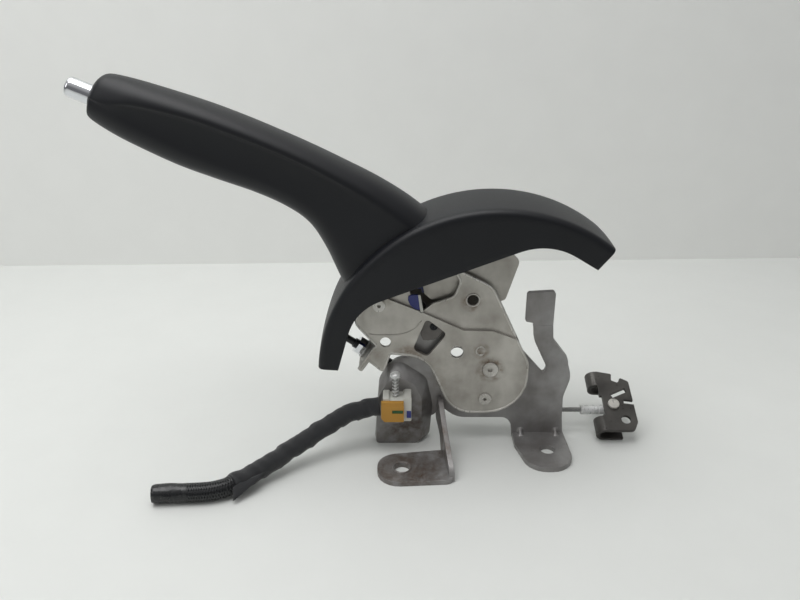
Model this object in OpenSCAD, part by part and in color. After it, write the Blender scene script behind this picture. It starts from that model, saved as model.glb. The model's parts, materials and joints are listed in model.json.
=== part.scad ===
// Parking brake lever: a ratchet lever on a bent base bracket, with grip, slot cover, cable and switch.
// X runs to the rear of the car, Y away from the near side, Z up from the floor.
// The origin is the centre of the front foot's bolt hole, on the floor.

/* [Base bracket] */
// Pivot behind the front foot hole, along the car
pivot_x = 53; // [50:1:57]
// Pivot height above the floor
pivot_z = 51; // [49:1:55]
// Near face of the base plate, measured inwards from the front foot hole
plate_y = 37; // [35:1:40]
// Thickness of the base plate
base_t = 3; // [2.5:0.25:3.5]
// Diameter of the foot bolt holes
foot_hole_d = 9; // [7:0.5:10]
// Distance from the front hole to the rear hole, along the car
foot_pitch_x = 88.5; // [86:0.5:91]
// Distance from the front hole to the rear hole, across the car
foot_pitch_y = 18.5; // [16:0.5:21]
// How far the dished wing stands forward of the base plate
wing_depth = 7; // [5:0.5:9]
// How far the stop arm's head stands forward of the base plate
head_depth = 7.4; // [7:0.2:9]

/* [Lever plates] */
// Thickness of the two lever plates
sheet_t = 2; // [1.5:0.1:2.2]
// Gap between the near lever plate's flange and the base plate
flange_gap = 0.6; // [0.4:0.1:1]
// Depth of the near plate from its face to the edge of its flange
flange_d = 4.9; // [4:0.1:6]
// Depth of the step that sets the plate's upper part back
step_d = 1.8; // [1:0.1:2]
// Near face of the far lever plate behind the base plate's near face
far_y = 17; // [16.6:0.2:19]
// Diameter of the pivot pin
pivot_d = 9.4; // [8:0.2:11]
// Diameter of the stop pin
stop_d = 5.4; // [4.6:0.2:6]
// Swing of the lever from released to fully on, in degrees
lever_swing = 26; // [20:1:28]

/* [Ratchet] */
// Thickness of the ratchet sector
sector_t = 4; // [3:0.25:4]
// Radius of the sector's tooth tips
tooth_r = 34.5; // [33:0.25:34.75]
// Depth of the teeth
tooth_depth = 2; // [1.5:0.1:2.4]
// Angle from tooth to tooth
tooth_pitch = 3.5; // [3:0.25:4.5]
// Diameter of the pawl pin
pawl_pin_d = 5; // [4:0.2:6]
// Travel of the release button
button_travel = 5.4; // [4:0.2:6]

/* [Grip and cover] */
// Diameter of the release button
button_d = 11; // [9:0.5:12]
// Length of button that stands out of the grip
button_out = 15; // [10:1:18]
// Radius of the slot cover's crown about the pivot
crown_r = 100.4; // [97:0.2:104]
// Height of the slot cover's crown above its edges
crown_rise = 0.6; // [0.4:0.1:3]
// Width of the slot cover
cover_w = 45.5; // [42:0.5:48]
// Wall of the slot cover
cover_wall = 2.4; // [1.8:0.2:3]

/* [Cable] */
// Radius of the cable's centre line on its guide
cable_r = 37.5; // [37:0.25:38.5]
// Diameter of the brake cable
cable_d = 3; // [2.5:0.25:3.5]
// Diameter of the adjuster rod
rod_d = 6; // [5:0.5:6]
// Width of the adjuster nut across its flats
nut_af = 10; // [9:0.5:11]
// Height of the adjuster nut
nut_h = 5; // [4:0.5:6]
// Thickness of the equaliser's sheet
equaliser_t = 2; // [1.5:0.25:2.5]

/* [Switch and harness] */
// Width of the switch body
switch_w = 17; // [15:0.5:18]
// Height of the switch body
switch_h = 14; // [13:0.5:15]
// Travel of the switch plunger
plunger_travel = 4; // [3:0.5:5]
// Diameter of the taped loom
loom_d = 12; // [10:0.5:12]
// Diameter of the conduit end
conduit_d = 11; // [9:0.5:11]

/* [Hidden] */
$fn = 48;

// Running clearance of a pin in its bore, and gap between faces that pass each other
fit = 0.05;
gap = 0.4;
// Steps along each rounded corner of a sheet
arc_steps = 6;

// Layers across the lever, from the base plate's near face
near_y = -(flange_gap + flange_d);
sector_y = base_t;
cable_y = 10.5;
mid_y = (near_y + far_y + sheet_t) / 2;

// Places in the lever's plane, from the pivot: [x, z]
stop_at = [-2.4, -20.2];
arm_rivet_at = [-66.4, 41.7];
pawl_angle = 144.224;
pawl_at = (tooth_r + 7.407) * [cos(pawl_angle), sin(pawl_angle)];
eyelet_at = [-11.9, 44.5];
sight_hole_at = [-20.3, 11.6];
sight_base_at = sight_hole_at + [0.5, -2.8];
sight_sector_at = sight_hole_at + [0.7, -5.3];
sight_far_at = sight_hole_at + [2, -11.8];
rim_r = crown_r - crown_rise;
anchor_at = [24.4 - rim_r, 5.8];
grip_slope = 22.5;
grip_dir = [-cos(grip_slope), sin(grip_slope)];
button_root = [-217, 158];
fork_at = pawl_at + [-11, 16.5];
guide_rivet_r = 26;
guide_rivet_angles = [248, 282];
sector_rivets_at = [[-10.5, 1], [-8, 17]];

// The adjuster rod's line touches the cable guide's circle
rod_slope = asin(cable_r / norm(anchor_at)) + atan2(anchor_at[1], -anchor_at[0]);
tangent_at = cable_r * [-sin(rod_slope), -cos(rod_slope)];
rod_run = norm(tangent_at - anchor_at);
rod_len = rod_run * 0.55;
rod_out = 22.5;
cable_z = -cable_r;

// Foot holes, from the pivot: [x, y]
front_hole = [-pivot_x, -plate_y];
rear_hole = front_hole + [foot_pitch_x, foot_pitch_y];
far_hole = [-pivot_x, 24];

// Sheet outlines as corners with a rounding radius each: [x, z, radius]
function tab(x, z, r) = [anchor_at[0] + x, anchor_at[1] + z, r];
near_corners = [[-22, -29.5, 18], [22.5, -29.5, 24], [22.3, 4, 12], [-1, 52.5, 10], [-34, 69.5, 20],
    [-78, 111.5, 15], [-143, 140.3, 9], [-151, 121.8, 9], [-86, 92.5, 15], [-68, 46, 8], [-82, 32, 6],
    tab(7.6, 10, 1), tab(1, 1.5, 1), tab(11.2, -7.5, 1.5), tab(15.1, 5, 1.5), [-38, 8.6, 18]];
far_corners = [[-26, -28, 12], [21, -28, 22], [21, 6, 12], [-1, 52.5, 10], [-36, 70, 20], [-78, 111.5, 15],
    [-143, 140.3, 9], [-151, 121.8, 9], [-86, 92.5, 15], [-72, 52, 10], [-74, 34, 8], [-56, 18, 10],
    [-38, 8.6, 22]];
step_line = [[-96, 62], [-61.6, 46.1], [-40.9, 37.3], [-16.8, 25.8], [0.4, 25.4], [30, 14]];
base_corners = [[16.5, -pivot_z, 1], [48.5, -pivot_z, 1], [47, -36, 10], [46.5, -22, 12], [50.3, -8, 16],
    [48, 0, 0.5], [35.2, 0, 0.5], [33.4, -6, 1.2], [6, 25.4, 10], [-14, 41, 12], [-48, 21, 8],
    [-47, 6, 5], [-58, 4, 8], [-66, -12, 10], [-66, -30, 6], [-32, -36, 4], [-31, -27, 2], [-19, -36.6, 16],
    [12.5, -36.6, 6], [15.5, -42, 8]];
wing_root = [[-70, -pivot_z, 2], [-36, -pivot_z, 5], [-34, -28, 9], [-38, -8, 9], [-58, 6, 8],
    [-67, -10, 12]];
wing_face = [[-69, -pivot_z, 2], [-41, -pivot_z, 5], [-41, -20, 9], [-46, -8, 9], [-60, -4, 8],
    [-68, -20, 12]];

// Grip stations from tip to rear, on its centre plane: [top x, top z, bottom x, bottom z, half width]
grip_stations = [[-212.5, 167.5, -220.8, 150, 9], [-208, 169.6, -220, 146.8, 11.5],
    [-199, 168, -212, 141, 14], [-187, 164.5, -200, 134, 15.5], [-162.4, 156.6, -176, 122.3, 16.5],
    [-141.6, 148.9, -155.5, 114.5, 16.8], [-120, 139.8, -134, 106.8, 16.8],
    [-102, 131.7, -117, 98.7, 17], [-84, 122.9, -105, 89.5, 17.5], [-65.9, 113.6, -96.5, 75.5, 18.2],
    [-49, 103, -90, 60, 19], [-34, 91, -84, 46, 19.6]];

// Harness route on the near side, from the origin
loom_route = [[-13.5, 22.5, 30.9], [-23, 22, 29.5], [-33, 20.5, 26.5], [-43, 17, 22], [-55, 11, 16.5],
    [-67, 3, 12], [-79, -7, 8.5], [-89, -15, 6.8], [-95, -20, 6.3]];
conduit_route = [[-95.5, -20.4, 6.26], [-98.5, -22.9, 6], [-106, -25.6, 5.7], [-117, -26.8, 5.6],
    [-128, -27.2, 5.6], [-137.5, -28, 5.6]];

steel = "#77736f";
zinc = "#8d8a86";
black = "#26282b";

// Corner rounding: the arc that joins the edges p-c and c-q with radius r
function unit(v) = v / norm(v);
function corner_arc(p, c, q, r) =
    let (u = unit(p - c), w = unit(q - c))
    let (half = acos(max(-1, min(1, u * w))) / 2)
    let (s = c + u * r / tan(half), e = c + w * r / tan(half), o = c + unit(u + w) * r / sin(half))
    let (a0 = atan2(s[1] - o[1], s[0] - o[0]), a1 = atan2(e[1] - o[1], e[0] - o[0]))
    let (turn = ((a1 - a0 + 540) % 360) - 180)
    [for (i = [0:arc_steps]) o + r * [cos(a0 + turn * i / arc_steps), sin(a0 + turn * i / arc_steps)]];
function flat(c) = [c[0], c[1]];
function rounded(cs) =
    let (n = len(cs))
    [for (i = [0:n - 1])
        let (before = flat(cs[(i + n - 1) % n]), after = flat(cs[(i + 1) % n]))
        each corner_arc(before, flat(cs[i]), after, cs[i][2])];

// The same corners moved inwards by t, for a counter-clockwise outline
function left_of(v) = [-v[1], v[0]];
function inset(cs, t) =
    let (n = len(cs))
    [for (i = [0:n - 1])
        let (before = flat(cs[(i + n - 1) % n]), c = flat(cs[i]), after = flat(cs[(i + 1) % n]))
        let (u = unit(c - before), w = unit(after - c))
        let (a = left_of(u), b = left_of(w), turn = u[0] * w[1] - u[1] * w[0])
        let (d = c + (a + b) * t / (1 + a * b))
        [d[0], d[1], max(0.3, cs[i][2] - (turn > 0 ? t : -t))]];

// Points of an arc about the pivot
function arc(r, a0, a1, n) = [for (i = [0:n])
    let (a = a0 + (a1 - a0) * i / n)
    r * [cos(a), sin(a)]];

// Turns a point about the pivot the way the lever rises
function raised(p, a) = [p[0] * cos(a) + p[1] * sin(a), p[1] * cos(a) - p[0] * sin(a)];

// Smooth curve through rows of numbers
function between(t, a, b, c, d) =
    b + 0.5 * (c - a) * t + (a - 2.5 * b + 2 * c - 0.5 * d) * t ^ 2
        + (1.5 * (b - c) + 0.5 * (d - a)) * t ^ 3;
function smooth(rows, steps) =
    let (m = len(rows) - 1)
    [for (i = [0:m - 1], k = [0:steps - (i < m - 1 ? 1 : 0)])
        between(k / steps, rows[max(0, i - 1)], rows[i], rows[i + 1], rows[min(m, i + 2)])];

module at_pivot() translate([pivot_x, plate_y, pivot_z]) children();

// A sheet that lies in the lever's plane, from y to y + t
module slab(y, t) translate([0, y + t, 0]) rotate([90, 0, 0]) linear_extrude(t) children();

// A round bar across the lever at p, from y0 to y1
module bar(p, d, y0, y1) translate([p[0], y1, p[1]]) rotate([90, 0, 0]) cylinder(d = d, h = y1 - y0);

// A ring of points skinned into one solid: rings is a list of equal closed loops
module skin(rings) {
    n = len(rings[0]);
    m = len(rings);
    points = [for (r = rings, p = r) p];
    sides = [for (i = [0:m - 2], j = [0:n - 1]) let (k = (j + 1) % n)
        each [[i * n + j, i * n + k, (i + 1) * n + k], [i * n + j, (i + 1) * n + k, (i + 1) * n + j]]];
    caps = [[for (j = [n - 1:-1:0]) j], [for (j = [0:n - 1]) (m - 1) * n + j]];
    polyhedron(points, concat(sides, caps));
}

// A round tube swept along a route
function route_dir(p, i) = unit(p[min(len(p) - 1, i + 1)] - p[max(0, i - 1)]);
function tube_ring(c, dir, r, n) =
    let (u = unit(cross(dir, [0, 0, 1])), w = cross(u, dir))
    [for (j = [0:n - 1]) c + r * (u * cos(360 * j / n) + w * sin(360 * j / n))];
module tube(route, d, sides) {
    path = smooth(route, 2);
    skin([for (i = [0:len(path) - 1]) tube_ring(path[i], route_dir(path, i), d / 2, sides)]);
}

// A helical spring of round wire along +Z, made of swept rings
module coil(d, wire, length, turns, steps = 14) {
    count = turns * steps;
    skin([for (i = [0:count])
        let (a = 360 * i / steps, out = [cos(a), sin(a), 0])
        let (c = out * d / 2 + [0, 0, wire / 2 + (length - wire) * i / count])
        [for (j = [0:5]) c + wire / 2 * (out * cos(60 * j) + [0, 0, 1] * sin(60 * j))]]);
}

// Base bracket

module foot(corners) translate([0, 0, -pivot_z]) linear_extrude(base_t) polygon(rounded(corners));

module wing() difference() {
    hull() {
        slab(0, base_t) polygon(rounded(wing_root));
        slab(-wing_depth, base_t / 2) polygon(rounded(wing_face));
    }
    hull() {
        slab(base_t, base_t / 2) polygon(rounded(inset(wing_root, base_t)));
        slab(base_t - wing_depth, base_t / 2) polygon(rounded(inset(wing_face, base_t)));
    }
}

// The stop arm leans forward from its bend, and its head stands upright again
arm_rise = 30;
module stop_arm() {
    rotate([asin(head_depth / arm_rise), 0, 0])
        slab(0, base_t)
            polygon(rounded([[48.1, -1, 0.5], [47, 5, 10], [36.4, 20, 10], [35, 31, 1], [23.6, 31, 1],
                [25, 20, 20], [34.6, -1, 0.5]]));
    slab(-head_depth, base_t)
        polygon(rounded([[23.6, 28.6, 0.5], [35, 28.6, 0.5], [35, 51.5, 2], [18.8, 50.5, 2],
            [18.8, 32.5, 1], [23.6, 31.5, 0.5]]));
}

// The front leg turns forward from the base plate and comes down on the front foot
leg_x = -31.5;
leg_turn = 7;
function leg_edge(y) = leg_x + base_t / cos(leg_turn) - y * tan(leg_turn);
module front_leg()
    translate([leg_x, 0, 0]) rotate([0, 0, leg_turn]) rotate([90, 0, 90]) linear_extrude(base_t)
        polygon(rounded([[base_t, -22, 1], [base_t, -38, 2], [-13, -41, 5], [-19, -pivot_z, 1],
            [front_hole[1] - 11, -pivot_z, 1], [front_hole[1] - 9, -44, 7], [-24, -33, 14],
            [-5, -21, 8]]));

module stop_slot() {
    r = norm(stop_at);
    a = atan2(stop_at[1], stop_at[0]);
    half = stop_d / 2 + gap;
    slab(-1, base_t + 2)
        polygon(concat(arc(r - half, a, a - lever_swing, 12), arc(r + half, a - lever_swing, a, 12)));
    for (p = [stop_at, raised(stop_at, lever_swing)]) bar(p, 2 * half, -1, base_t + 1);
}

rivet_d = 4;
module base_bracket() color(steel) at_pivot() difference() {
    union() {
        slab(0, base_t) difference() {
            polygon(rounded(base_corners));
            polygon(rounded(inset(wing_root, base_t / 2)));
        }
        wing();
        stop_arm();
        front_leg();
        foot([[48.5, base_t, 1], [16.5, base_t, 1], [16.5, -12, 10],
            [rear_hole[0] - 13, rear_hole[1] - 19, 13], [rear_hole[0] + 14, rear_hole[1] - 19, 14]]);
        foot([[front_hole[0] - 14.5, front_hole[1] + 12.5, 12],
            [front_hole[0] - 14.5, front_hole[1] - 15, 13],
            [leg_edge(front_hole[1] - 12), front_hole[1] - 12, 5], [leg_edge(-19), -19, 1],
            [leg_x - 2, -19.5, 4]]);
        foot([[far_hole[0] - 13, 0, 1], [far_hole[0] - 13, far_hole[1] + 13, 12],
            [far_hole[0] + 13, far_hole[1] + 13, 12], [far_hole[0] + 13, 0, 1]]);
    }
    for (h = [front_hole, rear_hole, far_hole])
        translate([h[0], h[1], -pivot_z - 1]) cylinder(d = foot_hole_d, h = base_t + 2);
    bar([0, 0], pivot_d + 2 * fit, -1, base_t + 1);
    for (p = sector_rivets_at) bar(p, rivet_d + 2 * fit, -1, base_t + 1);
    bar(sight_base_at, 12, -1, base_t + 1);
    stop_slot();
}

// Ratchet

sector_a0 = 120;
sector_a1 = 166;
function tooth_root(a) = (tooth_r - tooth_depth) * [cos(a), sin(a)];
module ratchet_sector() color("#5d5b5a") at_pivot() difference() {
    slab(sector_y, sector_t) union() {
        circle(r = 12);
        polygon(concat([[-6, -10.3], [7, 9]],
            [for (a = [sector_a0:tooth_pitch:sector_a1 - tooth_pitch])
                each [tooth_root(a), tooth_r * [cos(a + 0.5), sin(a + 0.5)]]],
            [tooth_root(sector_a1)]));
    }
    bar([0, 0], pivot_d + 2 * fit, 0, sector_y + sector_t + 1);
    for (p = sector_rivets_at) bar(p, rivet_d + 2 * fit, 0, sector_y + sector_t + 1);
    bar(sight_sector_at, 8.4, 0, sector_y + sector_t + 1);
}

module sector_rivets() color(zinc) at_pivot() for (p = sector_rivets_at) {
    bar(p, rivet_d, -0.1, sector_y + sector_t + 0.1);
    bar(p, rivet_d + 2, -1.2, 0);
    bar(p, rivet_d + 2, sector_y + sector_t, sector_y + sector_t + 1);
}

pin_out = 0.9;
module pivot_pin() color(zinc) at_pivot() difference() {
    union() {
        bar([0, 0], pivot_d, near_y - pin_out, far_y + sheet_t + gap);
        bar([0, 0], pivot_d + 6, far_y + sheet_t + gap, far_y + sheet_t + gap + 2.5);
    }
    bar([0, 0], 3, near_y - pin_out - 1, near_y + 0.6);
}

module pivot_bush() color(steel) at_pivot() difference() {
    bar([0, 0], pivot_d + 5, sector_y + sector_t, far_y - gap);
    bar([0, 0], pivot_d + 2 * fit, 0, far_y + 1);
}

pawl_t = sector_t - 2 * gap;
pawl_y = sector_y + gap;
fork_tip_d = 5;
module pawl() color("#4c4a49") at_pivot() difference() {
    slab(pawl_y, pawl_t) union() {
        translate(pawl_at) circle(d = pawl_pin_d + 6);
        translate(pawl_at)
            polygon([[-6.5, 0], [-7.4, -4], [-5.6, -8.6], [2.3, -9], [5.1, -3.8], [4, 1.5]]);
        polygon([pawl_at + [-5, 1], pawl_at + [1, 5], fork_at + [2.3, 0.8], fork_at + [-2.3, -0.8]]);
        translate(fork_at) circle(d = fork_tip_d);
    }
    bar(pawl_at, pawl_pin_d + 2 * fit, 0, far_y);
}

module pawl_pin() color(zinc) at_pivot() difference() {
    union() {
        bar(pawl_at, pawl_pin_d, pawl_y, far_y + sheet_t);
        bar(pawl_at, pawl_pin_d + 4, pawl_y + pawl_t + gap, far_y);
    }
    bar(pawl_at, pawl_pin_d - 2.2, pawl_y - 1, pawl_y + pawl_t);
}

module pawl_spring() color(zinc) at_pivot()
    translate([pawl_at[0], pawl_y + pawl_t + 2 * gap, pawl_at[1]]) rotate([-90, 0, 0])
        coil(pawl_pin_d + 6, 1, far_y - pawl_y - pawl_t - 3 * gap, 4);

// Lever plates

// What lies above the step line, moved down by a distance
function upper_zone(down = 0) =
    concat([for (p = step_line) p - [0, down]], [[30, 180], [-180, 180], [-180, 62 - down]]);

module lever_pin_bores() {
    bar([0, 0], pivot_d + 2 * fit, near_y - 1, far_y + sheet_t + 1);
    bar(stop_at, stop_d + 2 * fit, near_y - 1, far_y + sheet_t + 1);
    bar(arm_rivet_at, arm_rivet_d + 2 * fit, near_y - 1, far_y + sheet_t + 1);
}

arm_rivet_d = 5;
window = [[-49.5, 49.5, 1], [-42, 36.6, 1], [-36, 41.6, 2], [-22.5, 46.5, 5], [-19, 56, 4], [-24, 66, 4],
    [-44, 58, 3]];
pawl_window = [[-38.8, 33.5, 2], [-46.6, 13.5, 3], [-38, 8.4, 3], [-26.4, 23.5, 3]];
tab_zone = [for (p = [[5.4, 14.2], [-8.6, -3.8], [15.4, -11.8], [18.4, 6.2]]) anchor_at + p];

module lever_near_plate() color(zinc) at_pivot() {
    outline = rounded(near_corners);
    inner = rounded(inset(near_corners, sheet_t));
    difference() {
        union() {
            slab(near_y, sheet_t) difference() {
                polygon(outline);
                polygon(upper_zone());
            }
            slab(near_y + step_d, sheet_t) intersection() {
                polygon(outline);
                polygon(upper_zone());
            }
            slab(near_y, step_d + sheet_t) intersection() {
                polygon(outline);
                difference() {
                    polygon(upper_zone(sheet_t));
                    polygon(upper_zone());
                }
            }
            slab(near_y + step_d, flange_d - step_d) difference() {
                polygon(outline);
                polygon(inner);
                polygon(tab_zone);
            }
            anchor_frame() translate([0, near_y, -6.5]) cube([sheet_t, cable_y + 6.5 - near_y, 17.5]);
        }
        lever_pin_bores();
        bar(eyelet_at, 7, near_y - 1, 0);
        bar(sight_hole_at, 7.6, near_y - 1, 0);
        bar([-62.8, 18.2], 6.4, near_y - 1, 0);
        slab(near_y - 1, flange_d) polygon(rounded(window));
        slab(near_y - 1, flange_d) polygon(rounded(pawl_window));
        anchor_frame() along_rod(-1, sheet_t + 1, rod_d + 0.4);
    }
}

// The frame of the cable anchor: X runs inwards along the adjuster rod
module anchor_frame() translate([anchor_at[0], 0, anchor_at[1]]) rotate([0, rod_slope, 0]) children();
module along_rod(x0, x1, d) translate([x0, cable_y, 0]) rotate([0, 90, 0]) cylinder(d = d, h = x1 - x0);

// Brace behind the near plate's window; its tail stands out at the rear
brace_corners = [[-40, 47, 2], [-36, 43.5, 2], [-18.5, 44, 2], [-16, 51, 2], [-3, 52, 3], [5.9, 38.6, 3],
    [14.5, 67.4, 4], [9.3, 72.1, 4], [-36.8, 79.8, 8], [-44, 68, 4]];
brace_t = 1.8;
brace_y = near_y + flange_d + 0.2;
module brace_plate() color("#857f7a") at_pivot() difference() {
    slab(brace_y, brace_t) polygon(rounded(brace_corners));
    bar(eyelet_at, 8, brace_y - 1, brace_y + brace_t + 1);
}

module lever_far_plate() color("#857f7a") at_pivot() {
    outline = rounded(far_corners);
    difference() {
        union() {
            slab(far_y, sheet_t) polygon(outline);
            slab(far_y + sheet_t - flange_d, flange_d) intersection() {
                difference() {
                    polygon(outline);
                    polygon(rounded(inset(far_corners, sheet_t)));
                }
                polygon(upper_zone());
            }
        }
        lever_pin_bores();
        bar(pawl_at, pawl_pin_d + 2 * fit, far_y - 1, far_y + sheet_t + 1);
        bar(sight_far_at, 8.8, far_y - 1, far_y + sheet_t + 1);
        for (a = guide_rivet_angles)
            bar(guide_rivet_r * [cos(a), sin(a)], 3 + 2 * fit, far_y - 1, far_y + sheet_t + 1);
    }
}

module through_rivet(p, d) {
    bar(p, d, near_y, far_y + sheet_t);
    bar(p, d + 2.4, near_y - 0.9, near_y);
    bar(p, d + 2.4, far_y + sheet_t, far_y + sheet_t + 1);
}

module arm_rivet() color(zinc) at_pivot() difference() {
    through_rivet(arm_rivet_at, arm_rivet_d);
    bar(arm_rivet_at, 2, near_y - 2, near_y + 1);
}

module stop_pin() color(zinc) at_pivot() difference() {
    through_rivet(stop_at, stop_d);
    bar(stop_at, 2, near_y - 2, near_y + 1);
}

// Cable guide, a grooved sector that rides on the lever

guide_a0 = 270 - rod_slope;
guide_a1 = 270 + lever_swing + 3;
guide_bed = cable_r - cable_d / 2 - fit;
guide_half = cable_d / 2 + 1.6;
guide_core = norm(stop_at) + stop_d / 2 + gap;

// A profile of [radius, y] turned about the pivot axis between two angles
module turned(a0, a1) rotate([90, 0, 0]) rotate([0, 0, a0]) rotate_extrude(angle = a1 - a0) children();

module cable_guide() color("#3b3b3c") at_pivot() difference() {
    translate([0, cable_y, 0]) turned(guide_a0, guide_a1) polygon([[guide_core, cable_y - far_y],
        [guide_core, guide_half], [guide_bed + 2, guide_half], [guide_bed + 2, cable_d / 2 + 0.4],
        [guide_bed, cable_d / 2 + 0.2], [guide_bed, -cable_d / 2 - 0.2],
        [guide_bed + 2, -cable_d / 2 - 0.4], [guide_bed + 2, -guide_half], [guide_core + 4, -guide_half],
        [guide_core + 4, cable_y - far_y]]);
    for (a = guide_rivet_angles) bar(guide_rivet_r * [cos(a), sin(a)], 3 + 2 * fit, 0, far_y + 1);
}

module guide_rivets() color(zinc) at_pivot() for (a = guide_rivet_angles) {
    p = guide_rivet_r * [cos(a), sin(a)];
    bar(p, 3, cable_y - guide_half, far_y + sheet_t);
    bar(p, 4.6, cable_y - guide_half - 0.9, cable_y - guide_half);
    bar(p, 4.6, far_y + sheet_t, far_y + sheet_t + 0.9);
}

// Slot cover

cover_a0 = 51.3;
cover_a1 = 176.2;
half_w = cover_w / 2;
crown_arc_r = (half_w * half_w + crown_rise * crown_rise) / (2 * crown_rise);
function crown_at(y) = crown_r - crown_arc_r + sqrt(crown_arc_r * crown_arc_r - y * y);
function crown_curve(inwards, edge = half_w) = [for (i = [-5:5])
    let (y = edge * i / 5) [crown_at(y) - inwards, y]];

// Lower edge of the cover's sides, from beyond its rear end to beyond its front end
function under_rim(drop, a) = (rim_r - drop) * [cos(a), sin(a)];
cover_rear = under_rim(12.4, cover_a0);
cover_bay = under_rim(10.84, 72.2);
cover_front_bay = under_rim(8.98, 150.95);
cover_front = under_rim(9.4, cover_a1);
past_rear = cover_rear + 15 * unit(cover_rear - cover_bay);
past_front = cover_front + 15 * unit(cover_front - cover_front_bay);
below_cover = concat([past_rear], corner_arc(past_rear, cover_bay, cover_front_bay, 35),
    corner_arc(cover_bay, cover_front_bay, past_front, 30), [past_front, [-50, -30], [0, -5]]);

module arm_passage(clear) slab(near_y - 1, far_y + sheet_t - near_y + 2) union() {
    polygon(rounded(inset(near_corners, -clear)));
    polygon(rounded(inset(far_corners, -clear)));
}

// A channel section turned about the pivot, then cut to its lower edge
side_low = rim_r - 33.8;
inner_w = half_w - cover_wall;
module slot_cover() color(black) at_pivot() difference() {
    translate([0, mid_y, 0]) turned(cover_a0, cover_a1)
        polygon(concat([[side_low, -half_w]], crown_curve(0), [[side_low, half_w], [side_low, inner_w]],
            [for (i = [10:-1:0]) crown_curve(cover_wall, inner_w)[i]], [[side_low, -inner_w]]));
    slab(mid_y - half_w - 1, cover_w + 2) polygon(below_cover);
    arm_passage(gap);
}

// Grip

grip_sides = 28;
grip_power = 0.72;
function softened(c) = sign(c) * pow(abs(c), grip_power);
function grip_ring(s) = [for (j = [0:grip_sides - 1])
    let (a = 360 * j / grip_sides, up = (1 + softened(sin(a))) / 2, across = softened(cos(a)))
    [s[2] + (s[0] - s[2]) * up, mid_y + s[4] * across, s[3] + (s[1] - s[3]) * up]];

// The frame of the button: X runs into the grip along its axis
module button_frame()
    translate([button_root[0], mid_y, button_root[1]]) rotate([0, grip_slope, 0]) children();
module along_grip(x0, x1, d) translate([x0, 0, 0]) rotate([0, 90, 0]) cylinder(d = d, h = x1 - x0);

button_in = button_travel + 4.6;
spring_end = 42;
release_rod_d = 4;
module grip() color(black) at_pivot() difference() {
    skin([for (s = smooth(grip_stations, 3)) grip_ring(s)]);
    translate([0, mid_y, 0]) turned(80, 200)
        polygon(concat([[40, half_w], [40, -half_w]], crown_curve(-0.25)));
    arm_passage(0.3);
    button_frame() along_grip(-20, spring_end, button_d + 0.3);
    button_frame() along_grip(0, 100, release_rod_d + 2);
    rod_passage();
}

// Release button, rod and fork

dome_h = 2.5;
module release_button() color("#c9ccd0") at_pivot() button_frame() rotate([0, 90, 0]) rotate_extrude()
    polygon(concat([[release_rod_d / 2 + fit, button_in], [release_rod_d / 2 + fit, -button_out + 6],
        [0, -button_out + 6]], [for (i = [0:6]) let (a = 90 * i / 6)
            [button_d / 2 - dome_h + dome_h * sin(a), -button_out + dome_h - dome_h * cos(a)]],
        [[button_d / 2, button_in]]));

// The rod bends from the grip's axis down to the fork
elbow_run = 132;
bend_run = 12;
fork_top = 12;
function on_axis(run) = button_root - grip_dir * run;
function deep(p) = [p[0], mid_y, p[1]];
elbow_at = on_axis(elbow_run);
fork_root = fork_at + [0, fork_top];
rod_drop = unit(fork_root - elbow_at);
release_route = [for (p = [on_axis(6 - button_out), on_axis(elbow_run / 2), on_axis(elbow_run - bend_run),
    elbow_at + rod_drop * bend_run, fork_root - rod_drop * bend_run, fork_root]) deep(p)];
module release_rod() color(zinc) at_pivot() tube(release_route, release_rod_d, 10);

// Room for the rod's slanted end, wide enough for its travel
module rod_passage() hull()
    for (p = [on_axis(100), elbow_at, fork_root]) translate(deep(p)) sphere(d = 14, $fn = 24);

fork_slack = 1;
jaw = 2.4;
fork_y = pawl_y - 0.8;
module rod_fork() color("#24307a") at_pivot() {
    inner = fork_tip_d / 2 + fork_slack;
    outer = inner + jaw;
    difference() {
        slab(fork_y, mid_y + 4 - fork_y) translate(fork_at)
            polygon(rounded([[-outer, -6, 1], [-inner, -6, 0.8], [-inner, 8, 1], [inner, 8, 1],
                [inner, 5.5, 0.6], [outer, 5.5, 0.8], [outer, fork_top + 3, 2.5],
                [-outer, fork_top + 3, 2.5]]));
        translate(deep(fork_root)) rotate([0, atan2(rod_drop[0], rod_drop[1]), 0])
            cylinder(d = release_rod_d + 0.3, h = 30, center = true);
    }
}

module release_spring() color(zinc) at_pivot() button_frame() rotate([0, 90, 0])
    translate([0, 0, button_in]) coil(button_d - 3, 1.1, spring_end - button_in, 9);

// Cable anchor: washer, nut, rod and the cable on its guide

washer_t = 1.2;
module anchor_washer() color(zinc) at_pivot() anchor_frame() difference() {
    along_rod(-washer_t, 0, nut_af + 1.5);
    along_rod(-washer_t - 1, 1, rod_d + 0.4);
}

module adjuster_nut() color("#b9bcc0") at_pivot() anchor_frame() difference() {
    translate([-washer_t - nut_h, cable_y, 0]) rotate([0, 90, 0])
        cylinder(d = nut_af / cos(30), h = nut_h, $fn = 6);
    along_rod(-washer_t - nut_h - 1, 0, rod_d + 2 * fit);
}

rod_tip_d = 4.4;
module adjuster_rod() color("#1d1e20") at_pivot() anchor_frame() {
    along_rod(-washer_t - nut_h - 2, rod_len, rod_d);
    along_rod(-rod_out, -washer_t - nut_h - 2, rod_tip_d);
}

wrap_end = 269.4;
module cable_wrap() color("#9a9c9e") at_pivot() {
    anchor_frame() along_rod(rod_len, rod_run, cable_d);
    translate([0, cable_y, 0]) turned(guide_a0, wrap_end) translate([cable_r, 0]) circle(d = cable_d);
}

// Brake cable, ferrule and equaliser

equaliser_x = 81;
equaliser_tilt = 25;
ferrule_d = 6;
ferrule_x = -20;
pin_d = 4;
module cable_line() translate([0, cable_y, cable_z]) rotate([0, 90, 0]) children();
module brake_cable() color("#9a9c9e") at_pivot() cable_line()
    cylinder(d = cable_d, h = equaliser_x + ferrule_x);

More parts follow.
